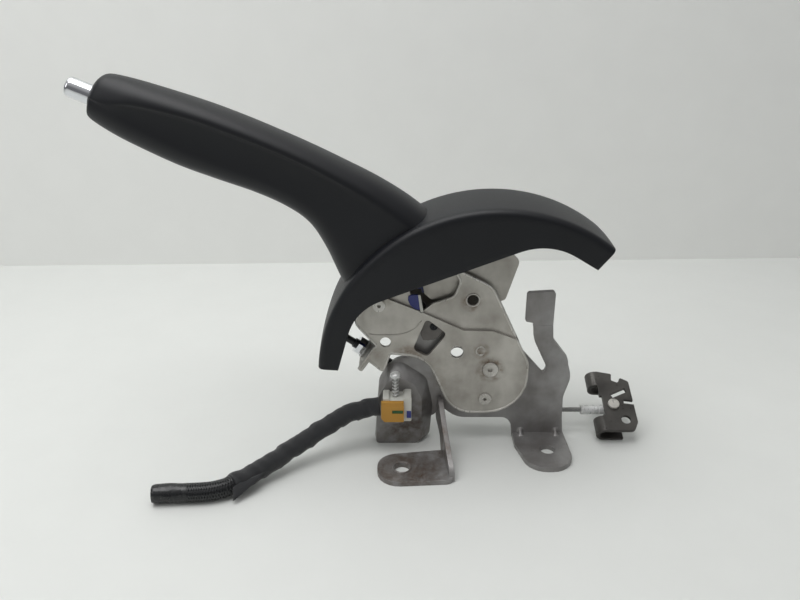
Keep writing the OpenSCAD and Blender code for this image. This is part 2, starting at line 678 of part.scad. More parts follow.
// The frame of the equaliser: Y along its length, Z out of its face
module equaliser_frame()
    translate([equaliser_x, cable_y, cable_z]) rotate([equaliser_tilt, 0, 0]) children();
module cable_ferrule() color("#7b7d80") at_pivot() equaliser_frame() difference() {
    translate([ferrule_x, 0, 0]) rotate([0, 90, 0]) cylinder(d = ferrule_d, h = 4 - ferrule_x);
    cylinder(d = pin_d + 2 * fit, h = 20, center = true);
}

plate_z = ferrule_d / 2 + gap;
module equaliser_pin() color(zinc) at_pivot() equaliser_frame() {
    translate([0, 0, -ferrule_d / 2 - 1]) cylinder(d = pin_d, h = ferrule_d + 2 + gap + equaliser_t);
    translate([0, 0, plate_z + equaliser_t + gap / 2]) cylinder(d = pin_d + 3, h = 1.5);
    translate([0, 0, -ferrule_d / 2 - 1.2]) cylinder(d = pin_d + 2, h = 1.2);
}

near_end = -19;
far_end = 26;
half_eq = 13;
hook_w = 11;
hook_r = plate_z + equaliser_t;
// A hook: the sheet curls under at the front edge and returns
module hook(y) translate([0, y + hook_w, 0]) rotate([90, 0, 0]) linear_extrude(hook_w) difference() {
    union() {
        translate([hook_r - half_eq, 0]) circle(r = hook_r);
        translate([hook_r - half_eq, -hook_r]) square([12, equaliser_t]);
    }
    translate([hook_r - half_eq, 0]) circle(r = plate_z);
    translate([hook_r - half_eq, -plate_z]) square([20, 2 * plate_z + equaliser_t]);
}

module equaliser() color("#5c5a58") at_pivot() equaliser_frame() difference() {
    union() {
        translate([0, 0, plate_z]) linear_extrude(equaliser_t) polygon(rounded([
            [hook_r - half_eq, near_end, 0.5], [half_eq - 3, near_end, 3], [half_eq, near_end + 6, 3],
            [half_eq, far_end - 8, 2],
            [half_eq - 5, far_end - 5, 1], [half_eq - 7, far_end - 9, 1], [2, far_end - 7, 1],
            [3, far_end - 2, 1], [-6, far_end, 2], [hook_r - half_eq, far_end, 0.5]]));
        hook(near_end);
        hook(far_end - hook_w);
    }
    cylinder(d = pin_d + 2 * fit, h = 40, center = true);
    translate([6, -11, 0]) cylinder(d = 6, h = 20);
    for (s = [[5, 9, 25, 11], [11, 2, -8, 8]])
        translate([s[0], s[1], 0]) rotate(s[2]) translate([-s[3] / 2, -1.5, 0]) cube([s[3], 3, 20]);
    translate([-18, -7.2, 0]) cube([12, 14, 20]);
}

// Warning switch

switch_left = -64.4;
switch_low = -28.2;
switch_y = -wing_depth;
switch_deep = 11;
front_t = 2.2;
plunger_at = [-56.8, switch_y - 5.5];
switch_top = switch_low + switch_h;
stem_d = 2.2;
head_z = -0.8;
module switch_body() color("#d9dad4") at_pivot() difference() {
    slab(switch_y - switch_deep, switch_deep) translate([switch_left, switch_low])
        polygon(rounded([[0, 0, 0.8], [switch_w, 0, 0.8], [switch_w, switch_h + 1.8, 0.8],
            [switch_w - 4, switch_h + 1.8, 0.8], [switch_w - 5, switch_h, 0.5], [4.5, switch_h, 0.5],
            [3.5, switch_h + 1.2, 0.6], [0, switch_h + 1.2, 0.8]]));
    translate([plunger_at[0], plunger_at[1], switch_top - 6 - plunger_travel])
        cylinder(d = stem_d + 2 * fit, h = 20);
}

module switch_front() color("#c08a2e") at_pivot() difference() {
    slab(switch_y - switch_deep - front_t, front_t) translate([switch_left - 1, switch_low])
        polygon(rounded([[0, 3, 0.8], [2, 0.6, 0.8], [13.5, 0.6, 0.8], [13.5, switch_h - 2, 0.8],
            [0, switch_h - 2, 0.8]]));
    slab(switch_y - switch_deep - front_t - 1, 2)
        translate([switch_left + 5.5, switch_low + 6.2]) square([6.6, 2.4]);
}

module switch_plunger() color("#b9bcc0") at_pivot() translate([plunger_at[0], plunger_at[1], 0]) {
    translate([0, 0, switch_top - 3]) cylinder(d = stem_d, h = head_z - switch_top + 3.5);
    translate([0, 0, head_z]) rotate_extrude() polygon(concat([[0, 0], [3.3, 0]],
        [for (i = [0:6]) [3.3 * cos(15 * i), 1 + 1.8 * sin(15 * i)]]));
}

module plunger_spring() color("#a5a8ab") at_pivot() translate([plunger_at[0], plunger_at[1], switch_top])
    coil(stem_d + 1.3, 0.75, head_z - switch_top, 6, 10);

module harness_loom() color(black) tube(loom_route, loom_d, 12);
module conduit_end() color("#303234") tube(conduit_route, conduit_d, 12);

base_bracket();
ratchet_sector();
sector_rivets();
pivot_pin();
pivot_bush();
switch_body();
switch_front();
switch_plunger();
plunger_spring();
harness_loom();
conduit_end();
lever_near_plate();
lever_far_plate();
brace_plate();
arm_rivet();
stop_pin();
cable_guide();
guide_rivets();
grip();
slot_cover();
pawl_pin();
pawl_spring();
release_spring();
anchor_washer();
adjuster_nut();
adjuster_rod();
cable_wrap();
release_button();
release_rod();
rod_fork();
pawl();
brake_cable();
cable_ferrule();
equaliser();
equaliser_pin();
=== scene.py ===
# %% [markdown]
# # Parking brake lever
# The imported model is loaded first. Its solids stay where they are, and every piece below is
# dressed around them in the same frame, in metres: X to the rear of the car, Z up from the floor.

# %% Load the frame
import json
import math

import bmesh
import bpy
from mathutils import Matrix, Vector


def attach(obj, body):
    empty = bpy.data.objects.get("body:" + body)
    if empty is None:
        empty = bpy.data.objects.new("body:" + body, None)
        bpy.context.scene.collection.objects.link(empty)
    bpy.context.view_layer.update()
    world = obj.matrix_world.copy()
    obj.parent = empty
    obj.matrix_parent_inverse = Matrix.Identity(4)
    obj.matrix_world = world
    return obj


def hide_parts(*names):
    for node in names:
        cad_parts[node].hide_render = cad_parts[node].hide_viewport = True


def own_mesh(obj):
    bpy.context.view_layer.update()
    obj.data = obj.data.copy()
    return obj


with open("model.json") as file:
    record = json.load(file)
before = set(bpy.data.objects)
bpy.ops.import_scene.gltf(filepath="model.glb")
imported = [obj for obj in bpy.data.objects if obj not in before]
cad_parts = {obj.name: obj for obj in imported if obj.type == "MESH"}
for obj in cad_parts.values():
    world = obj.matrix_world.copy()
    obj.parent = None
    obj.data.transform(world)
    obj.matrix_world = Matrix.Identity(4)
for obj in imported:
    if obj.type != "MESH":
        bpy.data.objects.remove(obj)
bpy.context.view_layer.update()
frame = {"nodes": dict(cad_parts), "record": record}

scene = bpy.context.scene

# %% [markdown]
# ## Camera
# The photograph was taken from the lever's near side, a little above it. The camera's height and
# tilt were found from the two foot holes and the pivot, so the view needs no shift.

# %% Camera at the photograph's view
camera_data = bpy.data.cameras.new("photo_view")
camera_data.sensor_width = 36.0
camera_data.lens = 33.75
camera = bpy.data.objects.new("photo_view", camera_data)
camera.location = (-0.0012, -0.3664, 0.2652)
camera.rotation_euler = (math.radians(67), 0, 0)
scene.collection.objects.link(camera)
scene.camera = camera
scene.view_settings.view_transform = "Standard"
print("camera at", [round(v, 3) for v in camera.location])

# %% [markdown]
# ## Helpers for places and meshes
# The lever's shapes are easiest to give from its pivot, in millimetres, as in a workshop drawing.
# One helper turns such a place into the frame's metres, and others make a mesh piece from points,
# round its edges and give it its finish and its body.

# %% Places and mesh pieces
PIVOT = Vector((53, 37, 51))


def from_pivot(x, y, z):
    return (PIVOT + Vector((x, y, z))) / 1000


def from_origin(x, y, z):
    return Vector((x, y, z)) / 1000


def piece(name, points, faces):
    mesh = bpy.data.meshes.new(name)
    mesh.from_pydata([tuple(p) for p in points], [], faces)
    mesh.polygons.foreach_set("use_smooth", [True] * len(mesh.polygons))
    made = bpy.data.objects.new(name, mesh)
    scene.collection.objects.link(made)
    return made


def grid_faces(rows, columns):
    wide = columns + 1
    return [(i * wide + j, i * wide + j + 1, (i + 1) * wide + j + 1, (i + 1) * wide + j)
            for i in range(rows) for j in range(columns)]


def ring_faces(rings, sides):
    faces = []
    for i in range(rings - 1):
        for j in range(sides):
            k = (j + 1) % sides
            faces.append((i * sides + j, i * sides + k, (i + 1) * sides + k, (i + 1) * sides + j))
    return faces


def soften(made, width):
    edge = made.modifiers.new("soft_edge", "BEVEL")
    edge.width = width
    edge.segments = 3


def dress(made, made_of, body, slot, *nodes):
    made.data.materials.clear()
    made.data.materials.append(made_of)
    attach(made, body)
    if nodes:
        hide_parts(*nodes)


print("pivot at", [round(v, 4) for v in from_pivot(0, 0, 0)])

# %% [markdown]
# ## Finishes
# Each finish but the woven tape is a small node tree on Object coordinates, so it stays put on its
# piece. Broad noise gives colour clouds and stains, fine noise the grain that breaks up the gloss.
# A painted picture could do the same, but noise has no seams and needs no unwrapping.

# %% Finish helpers
def paint(code):
    parts = [int(code[i:i + 2], 16) / 255 for i in (1, 3, 5)]
    return [((c + 0.055) / 1.055) ** 2.4 if c > 0.04045 else c / 12.92 for c in parts]


def finish(name, code, roughness, metallic=0.0):
    made = bpy.data.materials.new(name)
    made.use_nodes = True
    shader = made.node_tree.nodes["Principled BSDF"]
    shader.inputs["Base Color"].default_value = (*paint(code), 1)
    shader.inputs["Roughness"].default_value = roughness
    shader.inputs["Metallic"].default_value = metallic
    return made


def grain(made, scale, detail=4.0, stretch=(1, 1, 1)):
    nodes = made.node_tree.nodes
    place = nodes.new("ShaderNodeTexCoord")
    turn = nodes.new("ShaderNodeMapping")
    turn.inputs["Scale"].default_value = stretch
    noise = nodes.new("ShaderNodeTexNoise")
    noise.inputs["Scale"].default_value = scale
    noise.inputs["Detail"].default_value = detail
    made.node_tree.links.new(place.outputs["Object"], turn.inputs["Vector"])
    made.node_tree.links.new(turn.outputs["Vector"], noise.inputs["Vector"])
    return noise.outputs["Fac"]


def ramp(made, value, stops):
    node = made.node_tree.nodes.new("ShaderNodeValToRGB")
    elements = node.color_ramp.elements
    while len(elements) < len(stops):
        elements.new(0.5)
    for element, (place, colour) in zip(elements, stops):
        element.position = place
        element.color = (*colour, 1)
    made.node_tree.links.new(value, node.inputs["Fac"])
    return node.outputs["Color"]


def blend_colours(made, share, first, second):
    node = made.node_tree.nodes.new("ShaderNodeMix")
    node.data_type = "RGBA"
    made.node_tree.links.new(share, node.inputs["Factor"])
    for socket, colour in ((node.inputs[6], first), (node.inputs[7], second)):
        made.node_tree.links.new(colour, socket)
    return node.outputs[2]


def spot(made, place, inner, outer):
    nodes = made.node_tree.nodes
    here = nodes.new("ShaderNodeTexCoord")
    away = nodes.new("ShaderNodeVectorMath")
    away.operation = "DISTANCE"
    away.inputs[1].default_value = place
    fade = nodes.new("ShaderNodeMapRange")
    for socket, value in (("From Min", inner), ("From Max", outer), ("To Min", 1), ("To Max", 0)):
        fade.inputs[socket].default_value = value
    made.node_tree.links.new(here.outputs["Object"], away.inputs[0])
    made.node_tree.links.new(away.outputs["Value"], fade.inputs["Value"])
    return fade.outputs["Result"]


def calculate(made, operation, first, second):
    node = made.node_tree.nodes.new("ShaderNodeMath")
    node.operation = operation
    for socket, value in zip(node.inputs, (first, second)):
        made.node_tree.links.new(value, socket)
    return node.outputs[0]


def to_shader(made, socket, value):
    made.node_tree.links.new(value, made.node_tree.nodes["Principled BSDF"].inputs[socket])


def relief(made, height, strength, distance, edge=0.0):
    node = made.node_tree.nodes.new("ShaderNodeBump")
    if edge:
        rounding = made.node_tree.nodes.new("ShaderNodeBevel")
        rounding.samples = 6
        rounding.inputs["Radius"].default_value = edge
        made.node_tree.links.new(rounding.outputs["Normal"], node.inputs["Normal"])
    node.inputs["Strength"].default_value = strength
    node.inputs["Distance"].default_value = distance
    made.node_tree.links.new(height, node.inputs["Height"])
    to_shader(made, "Normal", node.outputs["Normal"])


def grey(level):
    return (level, level, level)


print("finish helpers ready")

# %% [markdown]
# ## Steel finishes
# The lever is zinc-plated sheet that has dulled to a warm grey, with brown stains where grease and
# rust have crept out of its joints. One function gives the family: light and dark clouds, a stain
# that shows only in the noise's peaks, and streaks that spread the gloss.

# %% Worn sheet steel
EDGE_ROUNDING = 0.0005


def worn_steel(name, light, dark, stain, stain_from, roughness, spots=(), metallic=0.55):
    made = finish(name, light, roughness, metallic)
    clouds = ramp(made, grain(made, 55, 6), [(0.32, paint(dark)), (0.66, paint(light))])
    stains = ramp(made, grain(made, 34, 8), [(stain_from, grey(0)), (stain_from + 0.16, grey(0.75))])
    patches = ramp(made, grain(made, 160, 6), [(0.36, grey(0)), (0.56, grey(1))])
    for place, inner, outer in spots:
        local = calculate(made, "MULTIPLY", patches, spot(made, place, inner, outer))
        stains = calculate(made, "MAXIMUM", stains, local)
    rust = ramp(made, grain(made, 300, 3), [(0.3, paint(stain)), (0.7, paint(dark))])
    to_shader(made, "Base Color", blend_colours(made, stains, clouds, rust))
    streaks = grain(made, 420, 5, (1, 1, 0.25))
    gloss = [(0.3, grey(roughness - 0.1)), (0.7, grey(roughness + 0.14))]
    to_shader(made, "Roughness", ramp(made, streaks, gloss))
    relief(made, streaks, 0.12, 0.0002, EDGE_ROUNDING)
    return made


PLATE_Y = -5.5
LEVER_SPOTS = [(from_pivot(0, PLATE_Y, 0), 0.006, 0.0095), (from_pivot(-50, PLATE_Y, 8), 0.004, 0.011),
               (from_pivot(-6, PLATE_Y, 12), 0.002, 0.006), (from_pivot(-12, PLATE_Y, 44), 0.004, 0.008)]
lever_steel = worn_steel("lever_steel", "#bdbab3", "#9a968f", "#64503c", 0.6, 0.4, LEVER_SPOTS)
BRACKET_SPOTS = [(from_origin(2, -2, 3), 0.012, 0.03), (from_origin(22, 14, 10), 0.006, 0.022),
                 (from_origin(2, 30, 14), 0.006, 0.026)]
bracket_steel = worn_steel("bracket_steel", "#9c9b9a", "#7c7977", "#5f5045", 0.6, 0.42, BRACKET_SPOTS)
dark_steel = worn_steel("dark_steel", "#53514e", "#393735", "#40332a", 0.56, 0.36)
# A darker copy of the lever steel for the link in the lower window: painted shade.
link_steel_painted_shade = worn_steel("link_steel_painted_shade", "#6a6764", "#55524f", "#40332a", 0.6, 0.4)
pin_steel = worn_steel("pin_steel", "#d2d0ca", "#a9a69f", "#6e5a42", 0.66, 0.3, metallic=0.35)
spring_steel = worn_steel("spring_steel", "#b7b7b5", "#86857f", "#5d5145", 0.66, 0.3)
bright_steel = worn_steel("bright_steel", "#dcdddc", "#b5b5b2", "#857a66", 0.7, 0.26, metallic=0.3)
cable_steel = worn_steel("cable_steel", "#b9bab9", "#7d7d7a", "#5d5145", 0.64, 0.34)
print("steel finishes: lever, bracket, dark, link, pin, spring, bright and cable")

# %% [markdown]
# ## Plastics, chrome and tape
# The grip and the cover are moulded in charcoal plastic with a fine even grain, which the bump gives.
# The tape on the harness is woven cloth: two crossed waves make its threads. They run on the UV map,
# so that the weave follows the loom round its bends.

# %% Moulded plastics
def moulded(name, code, roughness, grain_scale, depth, evenness=0.82):
    made = finish(name, code, roughness)
    tone = [c * evenness for c in paint(code)]
    to_shader(made, "Base Color", ramp(made, grain(made, 30, 5), [(0.35, tone), (0.65, paint(code))]))
    fine = grain(made, grain_scale, 2)
    gloss = [(0.3, grey(roughness - 0.06)), (0.7, grey(roughness + 0.08))]
    to_shader(made, "Roughness", ramp(made, fine, gloss))
    relief(made, fine, 0.35, depth)
    return made


grip_plastic = moulded("grip_plastic", "#101217", 0.45, 2600, 0.00012)
grip_plastic.node_tree.nodes["Principled BSDF"].inputs["Specular IOR Level"].default_value = 0.36
white_plastic = moulded("white_plastic", "#dcdcd4", 0.42, 900, 0.00004)
ochre_plastic = moulded("ochre_plastic", "#c08d35", 0.42, 700, 0.00006)
green_plastic = moulded("green_plastic", "#2c5a2c", 0.45, 700, 0.00004)
blue_nylon = moulded("blue_nylon", "#2b3580", 0.36, 800, 0.00004)
conduit_plastic = moulded("conduit_plastic", "#1b1c1e", 0.22, 600, 0.0001)
crinkled_sleeve = moulded("crinkled_sleeve", "#17181a", 0.28, 320, 0.0012)
black_steel = moulded("black_steel", "#202224", 0.35, 900, 0.00003)
chrome = finish("chrome", "#d9dbde", 0.07, 1.0)
chrome_gloss = [(0.35, grey(0.05)), (0.7, grey(0.13))]
to_shader(chrome, "Roughness", ramp(chrome, grain(chrome, 260, 5), chrome_gloss))
print("plastic and chrome finishes ready")

# %% Woven tape
def woven_tape(name, code, threads):
    made = finish(name, code, 0.72)
    nodes = made.node_tree.nodes
    place = nodes.new("ShaderNodeTexCoord")
    heights = []
    for direction in ("X", "Y"):
        wave = nodes.new("ShaderNodeTexWave")
        wave.bands_direction = direction
        wave.inputs["Scale"].default_value = threads
        wave.inputs["Distortion"].default_value = 0.6
        made.node_tree.links.new(place.outputs["UV"], wave.inputs["Vector"])
        heights.append(wave.outputs["Fac"])
    weave = calculate(made, "MAXIMUM", *heights)
    tone = [c * 0.55 for c in paint(code)]
    to_shader(made, "Base Color", ramp(made, weave, [(0.3, tone), (0.8, paint(code))]))
    relief(made, weave, 0.5, 0.00015)
    nodes["Principled BSDF"].inputs["Sheen Weight"].default_value = 0.25
    return made


loom_tape = woven_tape("loom_tape", "#202124", 160)
print("tape finish ready")

# %% [markdown]
# ## Harness
# The warning switch's wires run in a taped loom down to the table and end in a short length of
# braided conduit. The photograph shows it from end to end. A tube is swept along the same route as
# the solid; the tape's overlap is a small step that winds round it, so its edge catches the light.
# A bevelled curve would give a plain tube only, so the rings of points are worked out here. A loose
# flap of the tape hangs where the conduit begins.

# %% A smooth route
def smooth_route(points, steps):
    path = []
    ends = [points[0]] + points + [points[-1]]
    for a, b, c, d in zip(ends, ends[1:], ends[2:], ends[3:]):
        for i in range(steps):
            t = i / steps
            path.append(0.5 * (2 * b + (c - a) * t + (2 * a - 5 * b + 4 * c - d) * t * t
                               + (3 * b - a - 3 * c + d) * t ** 3))
    return path + [points[-1]]


LOOM_POINTS = [(-13.5, 22.5, 30.9), (-23, 22, 29.5), (-33, 20.5, 26.5), (-43, 17, 22), (-55, 11, 16.5),
               (-67, 3, 12), (-79, -7, 8.5), (-89, -15, 6.8), (-95, -20, 6.3)]
CONDUIT_POINTS = [(-95.5, -20.4, 6.26), (-98.5, -22.9, 6), (-106, -25.6, 5.7), (-117, -26.8, 5.6),
                  (-128, -27.2, 5.6), (-137.5, -28, 5.6)]
loom_path = smooth_route([from_origin(*p) for p in LOOM_POINTS], 10)
conduit_path = smooth_route([from_origin(*p) for p in CONDUIT_POINTS], 8)


def run_lengths(path):
    runs = [0.0]
    for a, b in zip(path, path[1:]):
        runs.append(runs[-1] + (b - a).length)
    return runs


# %% A tube along a route
def swept_tube(name, path, radius_at, sides, upright=Vector((0, 0, 1))):
    runs = run_lengths(path)
    points = []
    for i, place in enumerate(path):
        along = (path[min(i + 1, len(path) - 1)] - path[max(i - 1, 0)]).normalized()
        side = along.cross(upright).normalized()
        up = side.cross(along)
        for j in range(sides):
            turn = math.tau * j / sides
            out = side * math.cos(turn) + up * math.sin(turn)
            points.append(place + out * radius_at(runs[i], runs[-1], turn))
    faces = ring_faces(len(path), sides)
    faces.append(tuple(range(sides - 1, -1, -1)))
    faces.append(tuple(range((len(path) - 1) * sides, len(path) * sides)))
    made = piece(name, points, faces)
    layer = made.data.uv_layers.new(name="UVMap")
    for loop in made.data.loops:
        i, j = divmod(loop.vertex_index, sides)
        layer.data[loop.index].uv = (j / sides * 0.4, runs[i] * 10)
    return made


TAPE_PITCH, TAPE_LAP, LOOM_RADIUS = 0.011, 0.0006, 0.0052


def tape_radius(run, whole, turn):
    lap = (run / TAPE_PITCH + turn / math.tau) % 1
    lump = 0.0002 * math.sin(run * 330 + turn) + 0.00016 * math.sin(run * 790 + 2 * turn)
    return LOOM_RADIUS + TAPE_LAP * lap + lump


loom = swept_tube("harness_loom_tape", loom_path, tape_radius, 40)
dress(loom, loom_tape, "base", "loom_tape", "harness_loom")
print("loom faces:", len(loom.data.polygons))

# %% Loose flap of tape
TAPE_THICKNESS = 0.0005


def tape_flap():
    points = []
    across_steps, down_steps = 8, 8
    for i in range(down_steps + 1):
        share = i / down_steps
        for j in range(across_steps + 1):
            side = j / across_steps
            hang = share * (0.05 + 0.85 * side ** 0.7)
            x = -78.5 - 15.5 * side + 1.5 * hang
            y = -14.3 - 9.5 * side - 7.5 * hang
            z = 9.9 - 1.6 * side - 6.6 * hang ** 1.4 + 0.6 * math.sin(math.pi * share) * side
            points.append(from_origin(x, y, z))
    made = piece("tape_flap", points, grid_faces(down_steps, across_steps))
    layer = made.data.uv_layers.new(name="UVMap")
    for loop in made.data.loops:
        i, j = divmod(loop.vertex_index, across_steps + 1)
        layer.data[loop.index].uv = (j / across_steps * 0.1, i / down_steps * 0.1)
    thick = made.modifiers.new("thickness", "SOLIDIFY")
    thick.thickness = TAPE_THICKNESS
    return made


flap = tape_flap()
dress(flap, loom_tape, "base", "loom_tape")
print("flap faces:", len(flap.data.polygons))

# %% [markdown]
# ## Wound wire
# Springs, the lay of a wire rope and the braid of a conduit are one rule: strands that wind round a
# path. A Geometry Nodes tree states it once. It turns a line of edges into a curve, copies it once
# for each strand, pushes the points out along a turning direction and sweeps a round wire.

# %% The winding tree
def winding_tree():
    tree = bpy.data.node_groups.new("wound_wire", "GeometryNodeTree")
    sockets = [("Path", "Geometry"), ("Strands", "Int"), ("Turns", "Float"), ("Steps", "Int"),
               ("Winding radius", "Float"), ("Wire radius", "Float"), ("Sides", "Int"),
               ("Finish", "Material")]
    for title, kind in sockets:
        tree.interface.new_socket(title, in_out="INPUT", socket_type="NodeSocket" + kind)
    tree.interface.new_socket("Wound", in_out="OUTPUT", socket_type="NodeSocketGeometry")
    return tree


def add_node(tree, kind, operation=None, **values):
    node = tree.nodes.new(kind)
    if operation:
        node.operation = operation
    for key, value in values.items():
        setattr(node, key, value)
    return node


def join(tree, *pairs):
    for source, target in pairs:
        tree.links.new(source, target)


wound_wire = winding_tree()
input_names = [item.name for item in wound_wire.interface.items_tree if item.in_out == "INPUT"]
print("tree inputs:", input_names)

# %% Angle of each strand along its path
given = add_node(wound_wire, "NodeGroupInput").outputs
line = add_node(wound_wire, "GeometryNodeMeshToCurve")
evened = add_node(wound_wire, "GeometryNodeResampleCurve")
copies = add_node(wound_wire, "GeometryNodeDuplicateElements", domain="SPLINE")
along = add_node(wound_wire, "GeometryNodeSplineParameter")
wound = add_node(wound_wire, "ShaderNodeMath", "MULTIPLY")
share = add_node(wound_wire, "ShaderNodeMath", "DIVIDE")
total = add_node(wound_wire, "ShaderNodeMath", "ADD")
angle = add_node(wound_wire, "ShaderNodeMath", "MULTIPLY")
angle.inputs[1].default_value = math.tau
join(wound_wire, (given["Path"], line.inputs[0]), (line.outputs[0], evened.inputs["Curve"]),
     (given["Steps"], evened.inputs["Count"]), (evened.outputs[0], copies.inputs["Geometry"]),
     (given["Strands"], copies.inputs["Amount"]), (along.outputs["Factor"], wound.inputs[0]),
     (given["Turns"], wound.inputs[1]), (copies.outputs["Duplicate Index"], share.inputs[0]),
     (given["Strands"], share.inputs[1]), (wound.outputs[0], total.inputs[0]),
     (share.outputs[0], total.inputs[1]), (total.outputs[0], angle.inputs[0]))
print("angle nodes:", len(wound_wire.nodes))

# %% Push the strands out and sweep the wire
across = add_node(wound_wire, "GeometryNodeInputNormal")
forward = add_node(wound_wire, "GeometryNodeInputTangent")
second = add_node(wound_wire, "ShaderNodeVectorMath", "CROSS_PRODUCT")
parts = []
for operation, direction in (("COSINE", across.outputs[0]), ("SINE", second.outputs[0])):
    wave = add_node(wound_wire, "ShaderNodeMath", operation)
    reach = add_node(wound_wire, "ShaderNodeMath", "MULTIPLY")
    push = add_node(wound_wire, "ShaderNodeVectorMath", "SCALE")
    join(wound_wire, (angle.outputs[0], wave.inputs[0]), (wave.outputs[0], reach.inputs[0]),
         (given["Winding radius"], reach.inputs[1]), (direction, push.inputs[0]),
         (reach.outputs[0], push.inputs["Scale"]))
    parts.append(push.outputs[0])
offset = add_node(wound_wire, "ShaderNodeVectorMath", "ADD")
moved = add_node(wound_wire, "GeometryNodeSetPosition")
profile = add_node(wound_wire, "GeometryNodeCurvePrimitiveCircle")
swept = add_node(wound_wire, "GeometryNodeCurveToMesh")
swept.inputs["Fill Caps"].default_value = True
real = add_node(wound_wire, "GeometryNodeRealizeInstances")
coat = add_node(wound_wire, "GeometryNodeSetMaterial")
result = add_node(wound_wire, "NodeGroupOutput")
join(wound_wire, (forward.outputs[0], second.inputs[0]), (across.outputs[0], second.inputs[1]),
     (parts[0], offset.inputs[0]), (parts[1], offset.inputs[1]),
     (copies.outputs["Geometry"], moved.inputs["Geometry"]), (offset.outputs[0], moved.inputs["Offset"]),
     (moved.outputs[0], swept.inputs["Curve"]), (given["Sides"], profile.inputs["Resolution"]),
     (given["Wire radius"], profile.inputs["Radius"]),
     (profile.outputs["Curve"], swept.inputs["Profile Curve"]), (swept.outputs[0], real.inputs[0]),
     (real.outputs[0], coat.inputs["Geometry"]), (given["Finish"], coat.inputs["Material"]),
     (coat.outputs[0], result.inputs[0]))
print("winding tree has", len(wound_wire.nodes), "nodes")

# %% One call for a wound piece
def wind(name, path, made_of, strands, turns, steps, winding, wire, sides):
    mesh = bpy.data.meshes.new(name + "_path")
    mesh.from_pydata([tuple(p) for p in path], [(i, i + 1) for i in range(len(path) - 1)], [])
    host = bpy.data.objects.new(name, mesh)
    scene.collection.objects.link(host)
    modifier = host.modifiers.new("wound_wire", "NODES")
    modifier.node_group = wound_wire
    values = {"Strands": strands, "Turns": float(turns), "Steps": steps, "Winding radius": winding,
              "Wire radius": wire, "Sides": sides, "Finish": made_of}
    for item in wound_wire.interface.items_tree:
        if item.in_out == "INPUT" and item.name in values:
            modifier[item.identifier] = values[item.name]
    graph = bpy.context.evaluated_depsgraph_get()
    plain = bpy.data.meshes.new_from_object(host.evaluated_get(graph))
    plain.polygons.foreach_set("use_smooth", [True] * len(plain.polygons))
    host.modifiers.remove(modifier)
    host.data = plain
    bpy.data.meshes.remove(mesh)
    return host


print("wind() makes springs, wire rope and braid")

# %% [markdown]
# ## Braided conduit
# The conduit is a black tube with a braid over it. Two sets of strands wind opposite ways and stand
# just proud of the tube, and a crinkled sleeve closes the far end. A real braid weaves over and under,
# but at this size strands that only cross look the same.

# %% Conduit tube, braid and sleeve
CONDUIT_RADIUS, SLEEVE_RADIUS, BRAID_WIRE = 0.0047, 0.0053, 0.00062
SLEEVE_EDGE, SLEEVE_DROP = 0.0012, 0.0005
BRAID_TURNS = 2.6
BRAID_TO, SLEEVE_FROM = 26, 24


def conduit_radius(run, whole, turn):
    return CONDUIT_RADIUS + 0.0001 * math.sin(run * 900 + turn)


def sleeve_radius(run, whole, turn):
    edge = min(run, whole - run) / SLEEVE_EDGE
    lump = 0.00012 * math.sin(3 * turn + run * 400)
    return SLEEVE_RADIUS + lump - SLEEVE_DROP * max(0.0, 1 - edge)


conduit_tube = swept_tube("conduit_tube", conduit_path, conduit_radius, 32)
dress(conduit_tube, conduit_plastic, "base", "conduit_plastic", "conduit_end")
braid_one, braid_two = [
    wind(title, conduit_path[:BRAID_TO], conduit_plastic, strands=7, turns=turns, steps=90,
         winding=CONDUIT_RADIUS, wire=BRAID_WIRE, sides=6)
    for title, turns in (("conduit_braid_one", BRAID_TURNS), ("conduit_braid_two", -BRAID_TURNS))]
sleeve = swept_tube("conduit_sleeve", conduit_path[SLEEVE_FROM:], sleeve_radius, 32)
dress(braid_one, conduit_plastic, "base", "conduit_plastic")
dress(braid_two, conduit_plastic, "base", "conduit_plastic")
dress(sleeve, crinkled_sleeve, "base", "conduit_plastic")
print("braid faces:", len(braid_one.data.polygons) + len(braid_two.data.polygons))

# %% [markdown]
# ## Finishes for the solids that stay
# Small turned and stamped parts are right as they are, so they only get their finish. The adjusting
# nut is as bright as the button, so it is chromed too.

# %% Finishes of the plain solids
FINISHES = {"bracket_steel": bracket_steel, "dark_steel": dark_steel, "pin_steel": pin_steel,
            "white_plastic": white_plastic, "ochre_plastic": ochre_plastic, "bright_steel": bright_steel,
            "spring_steel": spring_steel, "loom_tape": loom_tape, "conduit_plastic": conduit_plastic,
            "lever_steel": lever_steel, "grip_plastic": grip_plastic, "black_steel": black_steel,
            "cable_steel": cable_steel, "chrome": chrome, "blue_nylon": blue_nylon}
SLOT_OF = {entry["node"]: entry["material_slot"] for entry in frame["record"]["subparts"]}
for node, solid in frame["nodes"].items():
    solid.data.materials.clear()
    solid.data.materials.append(chrome if node == "adjuster_nut" else FINISHES[SLOT_OF[node]])
print(len(SLOT_OF), "solids finished")

# %% [markdown]
# ## Grip
# The grip is one moulded sleeve. Its top is a rounded cap that meets the flatter sides at a fine
# raised line, and its rear end sits on the cover's crown. It is made as rows of cross sections, each
# given by its top, its bottom and its width, with the share of its height where the line runs. Rows
# keep that line crisp from end to end, which a smoothed block would not.

